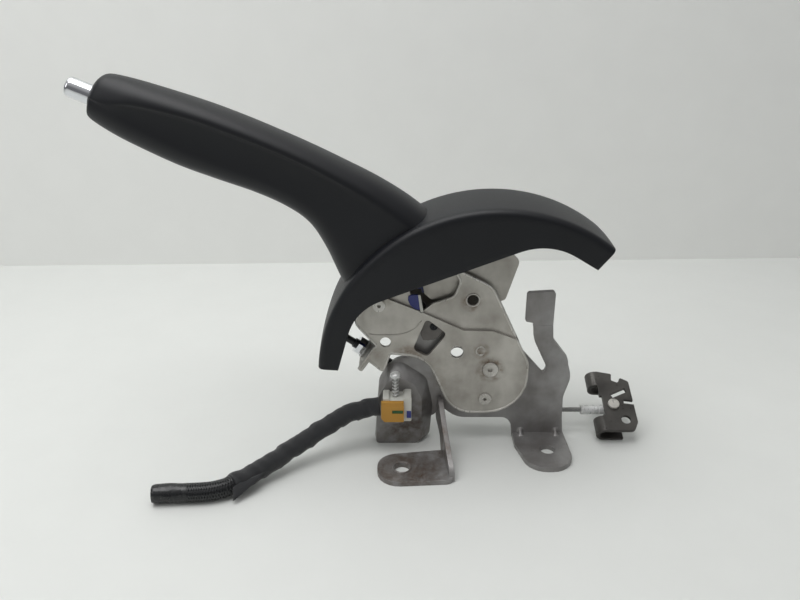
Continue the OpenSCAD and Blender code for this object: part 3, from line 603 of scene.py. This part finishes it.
# %% Grip sections
# Each row: top x, top z, bottom x, bottom z, half width, share to the line, the line's depth and the
# share of the round bottom
GRIP_ROWS = [
    (-212.5, 167.5, -220.8, 150, 9, 0.47, 0, 0.47), (-208, 169.6, -220, 146.8, 11.8, 0.47, 0, 0.46),
    (-199, 168, -212, 141, 14.2, 0.43, 0.1, 0.43), (-187, 164.5, -200, 134, 15.6, 0.3, 0.7, 0.36),
    (-162.4, 156.6, -176, 122.3, 16.5, 0.21, 0.9, 0.3),
    (-141.6, 148.9, -155.5, 114.5, 16.8, 0.2, 0.9, 0.28),
    (-120, 139.8, -134, 106.8, 16.8, 0.2, 0.9, 0.28), (-102, 131.7, -117, 98.7, 17, 0.2, 0.8, 0.28),
    (-84, 122.9, -105, 89.5, 17.5, 0.2, 0.5, 0.27), (-65.9, 113.6, -96.5, 75.5, 18.2, 0.19, 0.25, 0.25),
    (-49, 103, -90, 60, 19, 0.18, 0.1, 0.23), (-34, 91, -84, 46, 19.6, 0.16, 0, 0.22)]
MID_Y = 6.75
LEVELS = 10


def half_section(row):
    width, line, depth, low = row[4], row[5], row[6], row[7]
    inner = width - depth
    half = []
    for i in range(LEVELS + 1):
        turn = math.pi / 2 * i / LEVELS
        half.append((line * (1 - math.cos(turn)), width * math.sin(turn) ** 0.85))
    half.append((line + 0.014, width - depth * 0.45))
    for i in range(LEVELS):
        share = i / LEVELS
        down = line + 0.03 + (1 - low - line - 0.03) * share
        half.append((down, inner - 0.5 * math.sin(math.pi * share) * depth - 0.05 * width * share))
    for i in range(LEVELS + 1):
        turn = math.pi / 2 * i / LEVELS
        half.append((1 - low + low * math.sin(turn), 0.95 * inner * math.cos(turn) ** 0.85))
    return half


def ring(row):
    half = half_section(row)
    whole = [(down, -out) for down, out in half] + [(down, out) for down, out in half[-2:0:-1]]
    top, bottom = Vector((row[0], 0, row[1])), Vector((row[2], 0, row[3]))
    return [top.lerp(bottom, down) + Vector((0, MID_Y + out, 0)) for down, out in whole]


grip_rings = [ring(row) for row in smooth_route([Vector(r) for r in GRIP_ROWS], 6)]
columns = len(grip_rings[0])
print(len(grip_rings), "sections of", columns, "points")

# %% End the grip on the crown
CROWN_R, RIM_R, HALF_W = 100.4, 99.8, 22.75
CROWN_GAP = 0.3
CROWN_ARC = (HALF_W ** 2 + (CROWN_R - RIM_R) ** 2) / (2 * (CROWN_R - RIM_R))


def crown_height(y):
    return CROWN_R - CROWN_ARC + math.sqrt(CROWN_ARC ** 2 - y ** 2)


def above_crown(p):
    return math.hypot(p.x, p.z) - crown_height(p.y - MID_Y) - CROWN_GAP


def column_to_crown(j):
    line = [r[j] for r in grip_rings]
    end = next(i for i, p in enumerate(line) if above_crown(p) < 0)
    before, after = above_crown(line[end - 1]), above_crown(line[end])
    reach = end - 1 + before / (before - after)
    rows = []
    for i in range(len(line)):
        place = reach * i / (len(line) - 1)
        low = min(int(place), len(line) - 2)
        rows.append(line[low].lerp(line[low + 1], place - low))
    return rows


grip_columns = [column_to_crown(j) for j in range(columns)]
print("grip ends", round(above_crown(grip_columns[0][-1]), 2), "mm above the crown's clearance")

# %% Grip with its rounded end and button hole
GRIP_SLOPE = math.radians(22.5)
GRIP_DIR = Vector((-math.cos(GRIP_SLOPE), 0, math.sin(GRIP_SLOPE)))
GRIP_UP = Vector((math.sin(GRIP_SLOPE), 0, math.cos(GRIP_SLOPE)))
BUTTON_HOLE = 5.85
BUTTON_ROOT = Vector((-217, MID_Y, 158))


def hole_ring(radius, out):
    centre = BUTTON_ROOT + GRIP_DIR * out
    points = []
    for p in (c[0] for c in grip_columns):
        way = Vector(((p - BUTTON_ROOT).dot(GRIP_UP), p.y - MID_Y)).normalized()
        points.append(centre + GRIP_UP * way.x * radius + Vector((0, way.y * radius, 0)))
    return points


first = [c[0] for c in grip_columns]
shoulder = [p.lerp(q, 0.35) for p, q in zip(first, hole_ring(BUTTON_HOLE, 0.9))]
rows = [hole_ring(BUTTON_HOLE, -6), hole_ring(BUTTON_HOLE, 0.9), hole_ring(6.3, 1.2), shoulder]
rows += [[c[i] for c in grip_columns] for i in range(len(grip_rings))]


def loft(name, rows):
    count = len(rows[0])
    faces = [tuple(range(count - 1, -1, -1))] + ring_faces(len(rows), count)
    faces.append(tuple(range((len(rows) - 1) * count, len(rows) * count)))
    made = piece(name, [from_pivot(*p) for row in rows for p in row], faces)
    shape = bmesh.new()
    shape.from_mesh(made.data)
    bmesh.ops.recalc_face_normals(shape, faces=shape.faces)
    shape.to_mesh(made.data)
    shape.free()
    return made


grip = loft("grip_sleeve", rows)
grip.data.set_sharp_from_angle(angle=math.radians(50))
dress(grip, grip_plastic, "lever", "grip_plastic", "grip")
print("grip faces:", len(grip.data.polygons))

# %% [markdown]
# ## Slot cover
# The cover is a curved channel that closes the console's slot as the lever swings, so its crown
# follows the pivot's circle. It is drawn in polar places about the pivot: for each angle the section
# runs up the near side, over the crown and down the far side, and a solidify gives it its wall.

# %% Lower edge of the cover
COVER_FROM, COVER_TO = math.radians(51.3), math.radians(176.2)


def polar(r, a):
    return Vector((r * math.cos(a), r * math.sin(a)))


def rounded_bend(a, b, c, radius, steps=10):
    one, two = (a - b).normalized(), (c - b).normalized()
    half = one.angle(two) / 2
    middle = b + (one + two).normalized() * radius / math.sin(half)
    start, end = b + one * radius / math.tan(half), b + two * radius / math.tan(half)
    spokes = [(start - middle).lerp(end - middle, i / steps).normalized() for i in range(steps + 1)]
    return [middle + spoke * radius for spoke in spokes]


rear_bay, front_bay = Vector((27.2, 84.7)), Vector((-79.4, 44.1))
rear_end, front_end = polar(87.4, COVER_FROM), polar(90.4, COVER_TO)
past_rear = rear_end + (rear_end - rear_bay).normalized() * 15
past_front = front_end + (front_end - front_bay).normalized() * 15
cover_edge = ([past_rear] + rounded_bend(past_rear, rear_bay, front_bay, 35)
              + rounded_bend(rear_bay, front_bay, past_front, 30) + [past_front])


def cover_edge_radius(a):
    way = polar(1, a)
    for p, q in zip(cover_edge, cover_edge[1:]):
        run = q - p
        cross = way.x * run.y - way.y * run.x
        if abs(cross) < 1e-9:
            continue
        share = (p.x * way.y - p.y * way.x) / cross
        if -1e-6 <= share <= 1 + 1e-6 and (p + run * share).dot(way) > 0:
            return (p + run * share).dot(way)
    return RIM_R - 10


narrowest = min(cover_edge_radius(math.radians(a)) for a in range(52, 176))
print("cover's lower edge comes within", round(narrowest, 1), "mm of the pivot")

# %% Cover shell
def cover_section(a):
    low = cover_edge_radius(a)
    side = [(low + (RIM_R - 1.3 - low) * i / 8, HALF_W) for i in range(9)]
    side += [(RIM_R - 0.55, HALF_W - 0.12), (RIM_R - 0.15, HALF_W - 0.5)]
    crown = [(crown_height(y), y) for y in ((HALF_W - 1.3) * (1 - i / 9) for i in range(19))]
    section = [(r, -y) for r, y in side + crown] + list(reversed(side))
    return [from_pivot(r * math.cos(a), MID_Y + y, r * math.sin(a)) for r, y in section]


COVER_WALL = 0.0023
STEPS = 72
sections = [cover_section(COVER_FROM + (COVER_TO - COVER_FROM) * i / STEPS) for i in range(STEPS + 1)]
count = len(sections[0])
cover_faces = [(i * count + j, (i + 1) * count + j, (i + 1) * count + j + 1, i * count + j + 1)
               for i in range(STEPS) for j in range(count - 1)]
cover = piece("slot_cover_shell", [p for s in sections for p in s], cover_faces)
shell = cover.modifiers.new("shell", "SOLIDIFY")
shell.thickness = COVER_WALL
shell.offset = -1
soft_edge = cover.modifiers.new("soft_edge", "BEVEL")
soft_edge.width = 0.0004
soft_edge.segments = 2
soft_edge.limit_method = "ANGLE"
soft_edge.angle_limit = math.radians(55)
dress(cover, grip_plastic, "lever", "grip_plastic", "slot_cover")
print("cover faces before its wall:", len(cover.data.polygons))

# %% [markdown]
# ## Stamped sheet
# The bends and the dished wing of the bracket are smooth in the real sheet. Each such solid gets a
# smoothly shaded copy, and edges sharper than a set angle stay crisp. The finish rounds them a little.

# %% Smoothly shaded copies
WELD_DISTANCE = 2e-6
CRISP_ANGLE = 32


def smooth_copy(name, node):
    solid = frame["nodes"][node].data
    made = piece(name, [v.co for v in solid.vertices], [tuple(face.vertices) for face in solid.polygons])
    shape = bmesh.new()
    shape.from_mesh(made.data)
    bmesh.ops.remove_doubles(shape, verts=shape.verts, dist=WELD_DISTANCE)
    shape.to_mesh(made.data)
    shape.free()
    made.data.set_sharp_from_angle(angle=math.radians(CRISP_ANGLE))
    return made


BODY_OF = {node: body for body, nodes in frame["record"]["behaviour"]["bodies"].items() for node in nodes}
SHEET_NODES = ["base_bracket", "lever_near_plate", "lever_far_plate", "brace_plate", "equaliser", "pawl",
               "ratchet_sector", "switch_body", "switch_front", "rod_fork", "cable_guide"]
for node in SHEET_NODES:
    made = smooth_copy(node + "_smooth", node)
    dress(made, FINISHES[SLOT_OF[node]], BODY_OF[node], SLOT_OF[node], node)
print(len(SHEET_NODES), "sheet and moulded parts smoothed")

# %% [markdown]
# ## Small marks on the steel
# Rolled rims round the open holes, a weld near the pivot and a pressed bead along the front tab show
# that the lever is stamped sheet. Each is a ring or a swept tube sunk half way into what carries it.
# Bump in the finish would vanish from the side, so they are real shapes.
# Two darts stiffen the rear foot's bend, and the switch gets a green key, a front edge and a blue clip.

# %% Rolled rims
def rim(name, centre, radius, wire, upright):
    around, across_wire = 56, 12
    points = []
    for i in range(around):
        turn = math.tau * i / around
        for j in range(across_wire):
            roll = math.tau * j / across_wire
            reach, rise = radius + wire * math.cos(roll), wire * math.sin(roll)
            x, side = reach * math.cos(turn), reach * math.sin(turn)
            points.append(centre + Vector((x, rise, side) if upright else (x, side, rise)))
    faces = []
    for i in range(around):
        for j in range(across_wire):
            k, m = (i + 1) % around, (j + 1) % across_wire
            here, next_ring = i * across_wire, k * across_wire
            faces.append((here + j, next_ring + j, next_ring + m, here + m))
    return piece(name, points, faces)


STEP_DEPTH = 1.8
STEP_Y = PLATE_Y + STEP_DEPTH
for title, place, radius, wire, body, upright in (
        ("eyelet_rim", from_pivot(-11.9, STEP_Y, 44.5), 0.0038, 0.00055, "lever", True),
        ("sight_rim", from_pivot(-20.3, PLATE_Y, 11.6), 0.0041, 0.00035, "lever", True),
        ("pivot_rim", from_pivot(0, PLATE_Y - 0.75, 0), 0.0043, 0.0004, "base", True),
        ("foot_rim", from_origin(0, 0, 3), 0.0052, 0.0005, "base", False)):
    made = rim(title, place, radius, wire, upright)
    dress(made, bracket_steel if title == "foot_rim" else pin_steel, body, "pin_steel")
print("four rims turned")

# %% Weld and pressed bead
def tapered(size):
    return lambda run, whole, turn: size * min(1.0, 0.25 + min(run, whole - run) / 0.0016)


WELD_X, WELD_Z, WELD_R = -6.2, 12.4, 2.7
weld_path = [from_pivot(WELD_X + WELD_R * math.cos(a), PLATE_Y, WELD_Z + WELD_R * math.sin(a))
             for a in (math.radians(25 + 8 * i) for i in range(37))]
BEAD_POINTS = [(-72.4, 23.6), (-67.1, 22.9), (-53.6, 23.6), (-46, 26.8), (-41.6, 32.2)]
bead_path = smooth_route([from_pivot(x, PLATE_Y, z) for x, z in BEAD_POINTS], 8)
for title, path, size, made_of, slot in (("weld_seam", weld_path, 0.00055, pin_steel, "pin_steel"),
                                         ("pressed_bead", bead_path, 0.0004, lever_steel, "lever_steel")):
    made = swept_tube(title, path, tapered(size), 10, Vector((0, 1, 0)))
    dress(made, made_of, "lever", slot)
print("weld and bead swept")

# %% Darts in the rear foot's bend
def dart(name, x):
    rows, columns_across = 16, 10
    corner_y, corner_z, reach, half = 0.0, -48.0, 4.2, 2.4
    points = []
    for i in range(rows + 1):
        t = i / rows
        ridge = Vector((x, corner_y - reach * t, corner_z + reach * (1 - t)))
        if t < 0.5:
            root = Vector((x, corner_y, corner_z + reach * (1 - 2 * t)))
        else:
            root = Vector((x, corner_y - reach * (2 * t - 1), corner_z))
        for j in range(columns_across + 1):
            share = 2 * j / columns_across - 1
            height = math.cos(share * math.pi / 2) ** 1.4
            points.append(from_pivot(*(root.lerp(ridge, height) + Vector((half * share, 0.05, -0.05)))))
    return piece(name, points, grid_faces(rows, columns_across))


for title, x in (("bend_dart_front", 21.5), ("bend_dart_rear", 43.5)):
    dress(dart(title, x), bracket_steel, "base", "bracket_steel")
print("two darts pressed")

# %% Switch details
def block(name, low, high, soft):
    made = piece(name, [from_pivot(x, y, z) for x in (low[0], high[0]) for y in (low[1], high[1])
                        for z in (low[2], high[2])],
                 [(0, 1, 3, 2), (4, 6, 7, 5), (0, 4, 5, 1), (2, 3, 7, 6), (0, 2, 6, 4), (1, 5, 7, 3)])
    made.data.polygons.foreach_set("use_smooth", [False] * 6)
    soften(made, soft)
    return made


green_key = block("switch_green_key", (-58.8, -19.9, -21.9), (-52.4, -19.2, -19.7), 0.0001)
dress(green_key, green_plastic, "base", "ochre_plastic")
ochre_top = block("switch_front_top", (-65.3, -20.1, -16.6), (-52.0, -17.9, -14.2), 0.0003)
dress(ochre_top, ochre_plastic, "base", "ochre_plastic")
blue_clip = block("switch_blue_clip", (-50.2, -18.9, -25.6), (-47.6, -17.9, -21.2), 0.0002)
dress(blue_clip, blue_nylon, "base", "white_plastic")
print("switch details added")

# %% [markdown]
# ## Rolled edge of the near plate
# The stamping's outline is turned over a little. The edge follows the solid's own outline, except
# where the front face meets the step between its two levels. Closed runs are holes and stay plain,
# as do short runs. A thin tube that is swept along each run needs no points of its own.

# %% Outline of the front face
STEP_POINTS = [(-96, 62), (-61.6, 46.1), (-40.9, 37.3), (-16.8, 25.8), (0.4, 25.4), (30, 14)]
STEP_LINE = [from_pivot(x, 0, z) for x, z in STEP_POINTS]
STEP_WIDTH = 0.003


def off_step(place):
    flat = Vector((place.x, STEP_LINE[0].y, place.z))
    for first, second in zip(STEP_LINE, STEP_LINE[1:]):
        way = second - first
        share = min(1.0, max(0.0, (flat - first).dot(way) / way.length_squared))
        if (flat - first - way * share).length < STEP_WIDTH:
            return False
    return True


def outline_runs(node, y_face):
    shape = bmesh.new()
    shape.from_mesh(frame["nodes"][node].data)
    bmesh.ops.remove_doubles(shape, verts=shape.verts, dist=WELD_DISTANCE)
    front = [f for f in shape.faces if f.normal.y < -0.99 and abs(f.verts[0].co.y - y_face) < 1e-5]
    inside = set(front)
    follow = {}
    for face in front:
        for loop in face.loops:
            other = [f for f in loop.edge.link_faces if f not in inside]
            if other and off_step((loop.vert.co + loop.link_loop_next.vert.co) / 2):
                follow[loop.vert] = loop.link_loop_next.vert
    ends = set(follow.values())
    runs = []
    for start in [v for v in follow if v not in ends]:
        run = [start]
        while run[-1] in follow:
            run.append(follow[run[-1]])
        runs.append([v.co.copy() for v in run])
    shape.free()
    return runs


def spaced(path, step):
    whole = run_lengths(path)
    pieces = max(2, round(whole[-1] / step))
    made, k = [], 0
    for i in range(pieces + 1):
        want = whole[-1] * i / pieces
        while k < len(path) - 2 and whole[k + 1] < want:
            k += 1
        made.append(path[k].lerp(path[k + 1], (want - whole[k]) / max(1e-9, whole[k + 1] - whole[k])))
    return made


ROLL_RADIUS, ROLL_DEPTH, ROLL_STEP, ROLL_TAPER = 0.0008, 0.0004, 0.0012, 0.003
SHORTEST_RUN = 0.025


def rolled_radius(run, whole, turn):
    return ROLL_RADIUS * min(1.0, 0.15 + min(run, whole - run) / ROLL_TAPER)


for level in (PLATE_Y, STEP_Y):
    for number, run in enumerate(outline_runs("lever_near_plate", from_pivot(0, level, 0).y)):
        length = run_lengths(run)[-1]
        if length < SHORTEST_RUN:
            continue
        path = [place + Vector((0, ROLL_DEPTH, 0)) for place in spaced(run, ROLL_STEP)]
        title = f"rolled_edge_{round(-level * 10)}_{number}"
        made = swept_tube(title, path, rolled_radius, 12, Vector((0, 1, 0)))
        # The edge is drawn in paler pin steel than the plate: a painted highlight along the outline.
        dress(made, pin_steel, "lever", "lever_steel")
        print(title, round(length * 1000, 1), "mm")

# %% [markdown]
# ## Nylon pad and window link
# A blue nylon pad sits over the left edge of the upper window, with a pale moulded strip beside it. A
# link shows in the lower window, against the back of the near plate. It is lever steel drawn darker, as
# painted shade, and its hole is a charcoal disc, a painted shadow. All three ride with the lever. They
# are thin, so a flat outline with a thickness and softened edges is enough.

# %% Flat plates in the windows
def flat_plate(name, corners, y_front, y_back, soft):
    count = len(corners)
    points = [from_pivot(x, y, z) for y in (y_front, y_back) for x, z in corners]
    faces = [tuple(range(count)), tuple(range(2 * count - 1, count - 1, -1))]
    faces += [(i, i + count, (i + 1) % count + count, (i + 1) % count) for i in range(count)]
    made = piece(name, points, faces)
    made.data.polygons.foreach_set("use_smooth", [False] * len(faces))
    soften(made, soft)
    return made


PAD = [(-49.4, 47.2), (-47.6, 48.2), (-43.6, 48.2), (-42.3, 38.5), (-45.3, 38.8), (-48.3, 41.6),
       (-49.6, 44.8)]
PAD_STRIP = [(-43.8, 48.2), (-42.4, 48.0), (-40.3, 36.1), (-42.2, 36.1)]
LINK = [(-41.8, 24.6), (-42.1, 22.6), (-40.6, 18.7), (-37.5, 18.3), (-32.6, 19.3), (-28.9, 23.8),
        (-27.1, 29.8), (-33.1, 34.3), (-38.9, 34.3), (-41.4, 27.8)]
dress(flat_plate("nylon_pad", PAD, -4.7, -3.6, 0.0003), blue_nylon, "lever", "blue_nylon")
dress(flat_plate("nylon_pad_strip", PAD_STRIP, -4.9, -3.9, 0.0001), white_plastic, "lever", "blue_nylon")
# The link is lever steel drawn darker, as painted shade of the lower window.
dress(flat_plate("window_link", LINK, -3.6, -0.8, 0.0003), link_steel_painted_shade, "lever", "lever_steel")
# The link's hole is a closed charcoal disc: a painted shadow, not an opening.
link_hole_shade = rim("window_link_hole_shade", from_pivot(-34.4, -3.4, 27.4), 0.0012, 0.0012, upright=True)
dress(link_hole_shade, grip_plastic, "lever", "lever_steel")
print("pad, strip and link added")

# %% [markdown]
# ## Springs and cable
# The same winding makes the two coil springs that work and the lay of the brake cable's wires.

# %% Plunger spring
def straight(a, b, steps=24):
    return [a.lerp(b, i / steps) for i in range(steps + 1)]


plunger_low = from_pivot(-56.8, -12.5, -14.2)
plunger_high = from_pivot(-56.8, -12.5, -0.9)
plunger_coil = wind("plunger_spring_coil", straight(plunger_low, plunger_high), bright_steel, strands=1,
                    turns=6, steps=200, winding=0.00175, wire=0.00037, sides=8)
dress(plunger_coil, bright_steel, "base", "spring_steel", "plunger_spring")
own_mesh(plunger_coil)

# %% Release spring
RELEASE_WIRE = 0.00055
spring_way = Vector((0.92388, 0, -0.38268)).normalized()
spring_points = [v.co.copy() for v in frame["nodes"]["release_spring"].data.vertices]
middle = sum(spring_points, Vector()) / len(spring_points)
reach = [(place - middle).dot(spring_way) for place in spring_points]
outer_end = middle + spring_way * (min(reach) + RELEASE_WIRE)
inner_end = middle + spring_way * (max(reach) - RELEASE_WIRE)
wide = max((place - middle - spring_way * along).length for place, along in zip(spring_points, reach))
release_coil = wind("release_spring_coil", straight(outer_end, inner_end), bright_steel, strands=1,
                    turns=9, steps=260, winding=wide - RELEASE_WIRE, wire=RELEASE_WIRE, sides=8)
dress(release_coil, bright_steel, "lever", SLOT_OF["release_spring"], "release_spring")
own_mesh(release_coil)

# %% Wire rope
cable_from, cable_to = from_pivot(0, 10.5, -37.5), from_pivot(61, 10.5, -37.5)
cable_rope = wind("brake_cable_rope", straight(cable_from, cable_to), cable_steel, strands=7, turns=3.5,
                  steps=160, winding=0.00105, wire=0.00046, sides=7)
dress(cable_rope, cable_steel, "cable", "cable_steel", "brake_cable")
print("cable wound")

# %% [markdown]
# ## Stage
# A pale table runs back to a pale wall, as in the photograph. Soft light comes from the room, one
# large lamp above and a weak one at the side. The wall stands a little askew, as the line behind the
# lever does, and it is clear from behind, so that the lever's back can be seen too.

# %% Table and wall
def plain_surface(name, corners, code):
    made = piece(name, [Vector(c) for c in corners], [(0, 1, 2, 3)])
    made.data.materials.append(moulded(name, code, 0.6, 300, 0.00002, 0.985))
    return made


def clear_from_behind(made):
    tree = made.data.materials[0].node_tree
    facing = tree.nodes.new("ShaderNodeNewGeometry")
    clear = tree.nodes.new("ShaderNodeBsdfTransparent")
    either = tree.nodes.new("ShaderNodeMixShader")
    tree.links.new(facing.outputs["Backfacing"], either.inputs["Fac"])
    tree.links.new(tree.nodes["Principled BSDF"].outputs["BSDF"], either.inputs[1])
    tree.links.new(clear.outputs["BSDF"], either.inputs[2])
    tree.links.new(either.outputs["Shader"], tree.nodes["Material Output"].inputs["Surface"])


plain_surface("table", [(-2, -1.5, 0), (2, -1.5, 0), (2, 2, 0), (-2, 2, 0)], "#d9dbd8")
wall = plain_surface("wall", [(-2, 0.3005, 0), (2, 0.4165, 0), (2, 0.4165, 2), (-2, 0.3005, 2)], "#f3f4f1")
clear_from_behind(wall)
print("table and wall stand")

# %% Light
world = bpy.data.worlds.new("room")
world.use_nodes = True
sky = world.node_tree.nodes
ball = sky.new("ShaderNodeTexCoord")
split = sky.new("ShaderNodeSeparateXYZ")
shade = sky.new("ShaderNodeValToRGB")
shade.color_ramp.elements[0].position = 0.3
shade.color_ramp.elements[0].color = (0.3, 0.3, 0.31, 1)
shade.color_ramp.elements[1].position = 0.85
shade.color_ramp.elements[1].color = (1, 1, 1, 1)
world.node_tree.links.new(ball.outputs["Generated"], split.inputs[0])
world.node_tree.links.new(split.outputs["Z"], shade.inputs["Fac"])
world.node_tree.links.new(shade.outputs["Color"], sky["Background"].inputs["Color"])
sky["Background"].inputs["Strength"].default_value = 0.58
scene.world = world
for title, place, tilt, size, power in (("overhead_lamp", (-0.22, 0.0, 1.0), (-2, -11, 0), 0.8, 7.2),
                                        ("side_lamp", (-0.8, -0.5, 0.6), (55, 0, -50), 0.5, 1.2)):
    lamp_data = bpy.data.lights.new(title, "AREA")
    lamp_data.size = size
    lamp_data.energy = power
    lamp = bpy.data.objects.new(title, lamp_data)
    lamp.location = place
    lamp.rotation_euler = [math.radians(t) for t in tilt]
    scene.collection.objects.link(lamp)
print("two lamps lit")
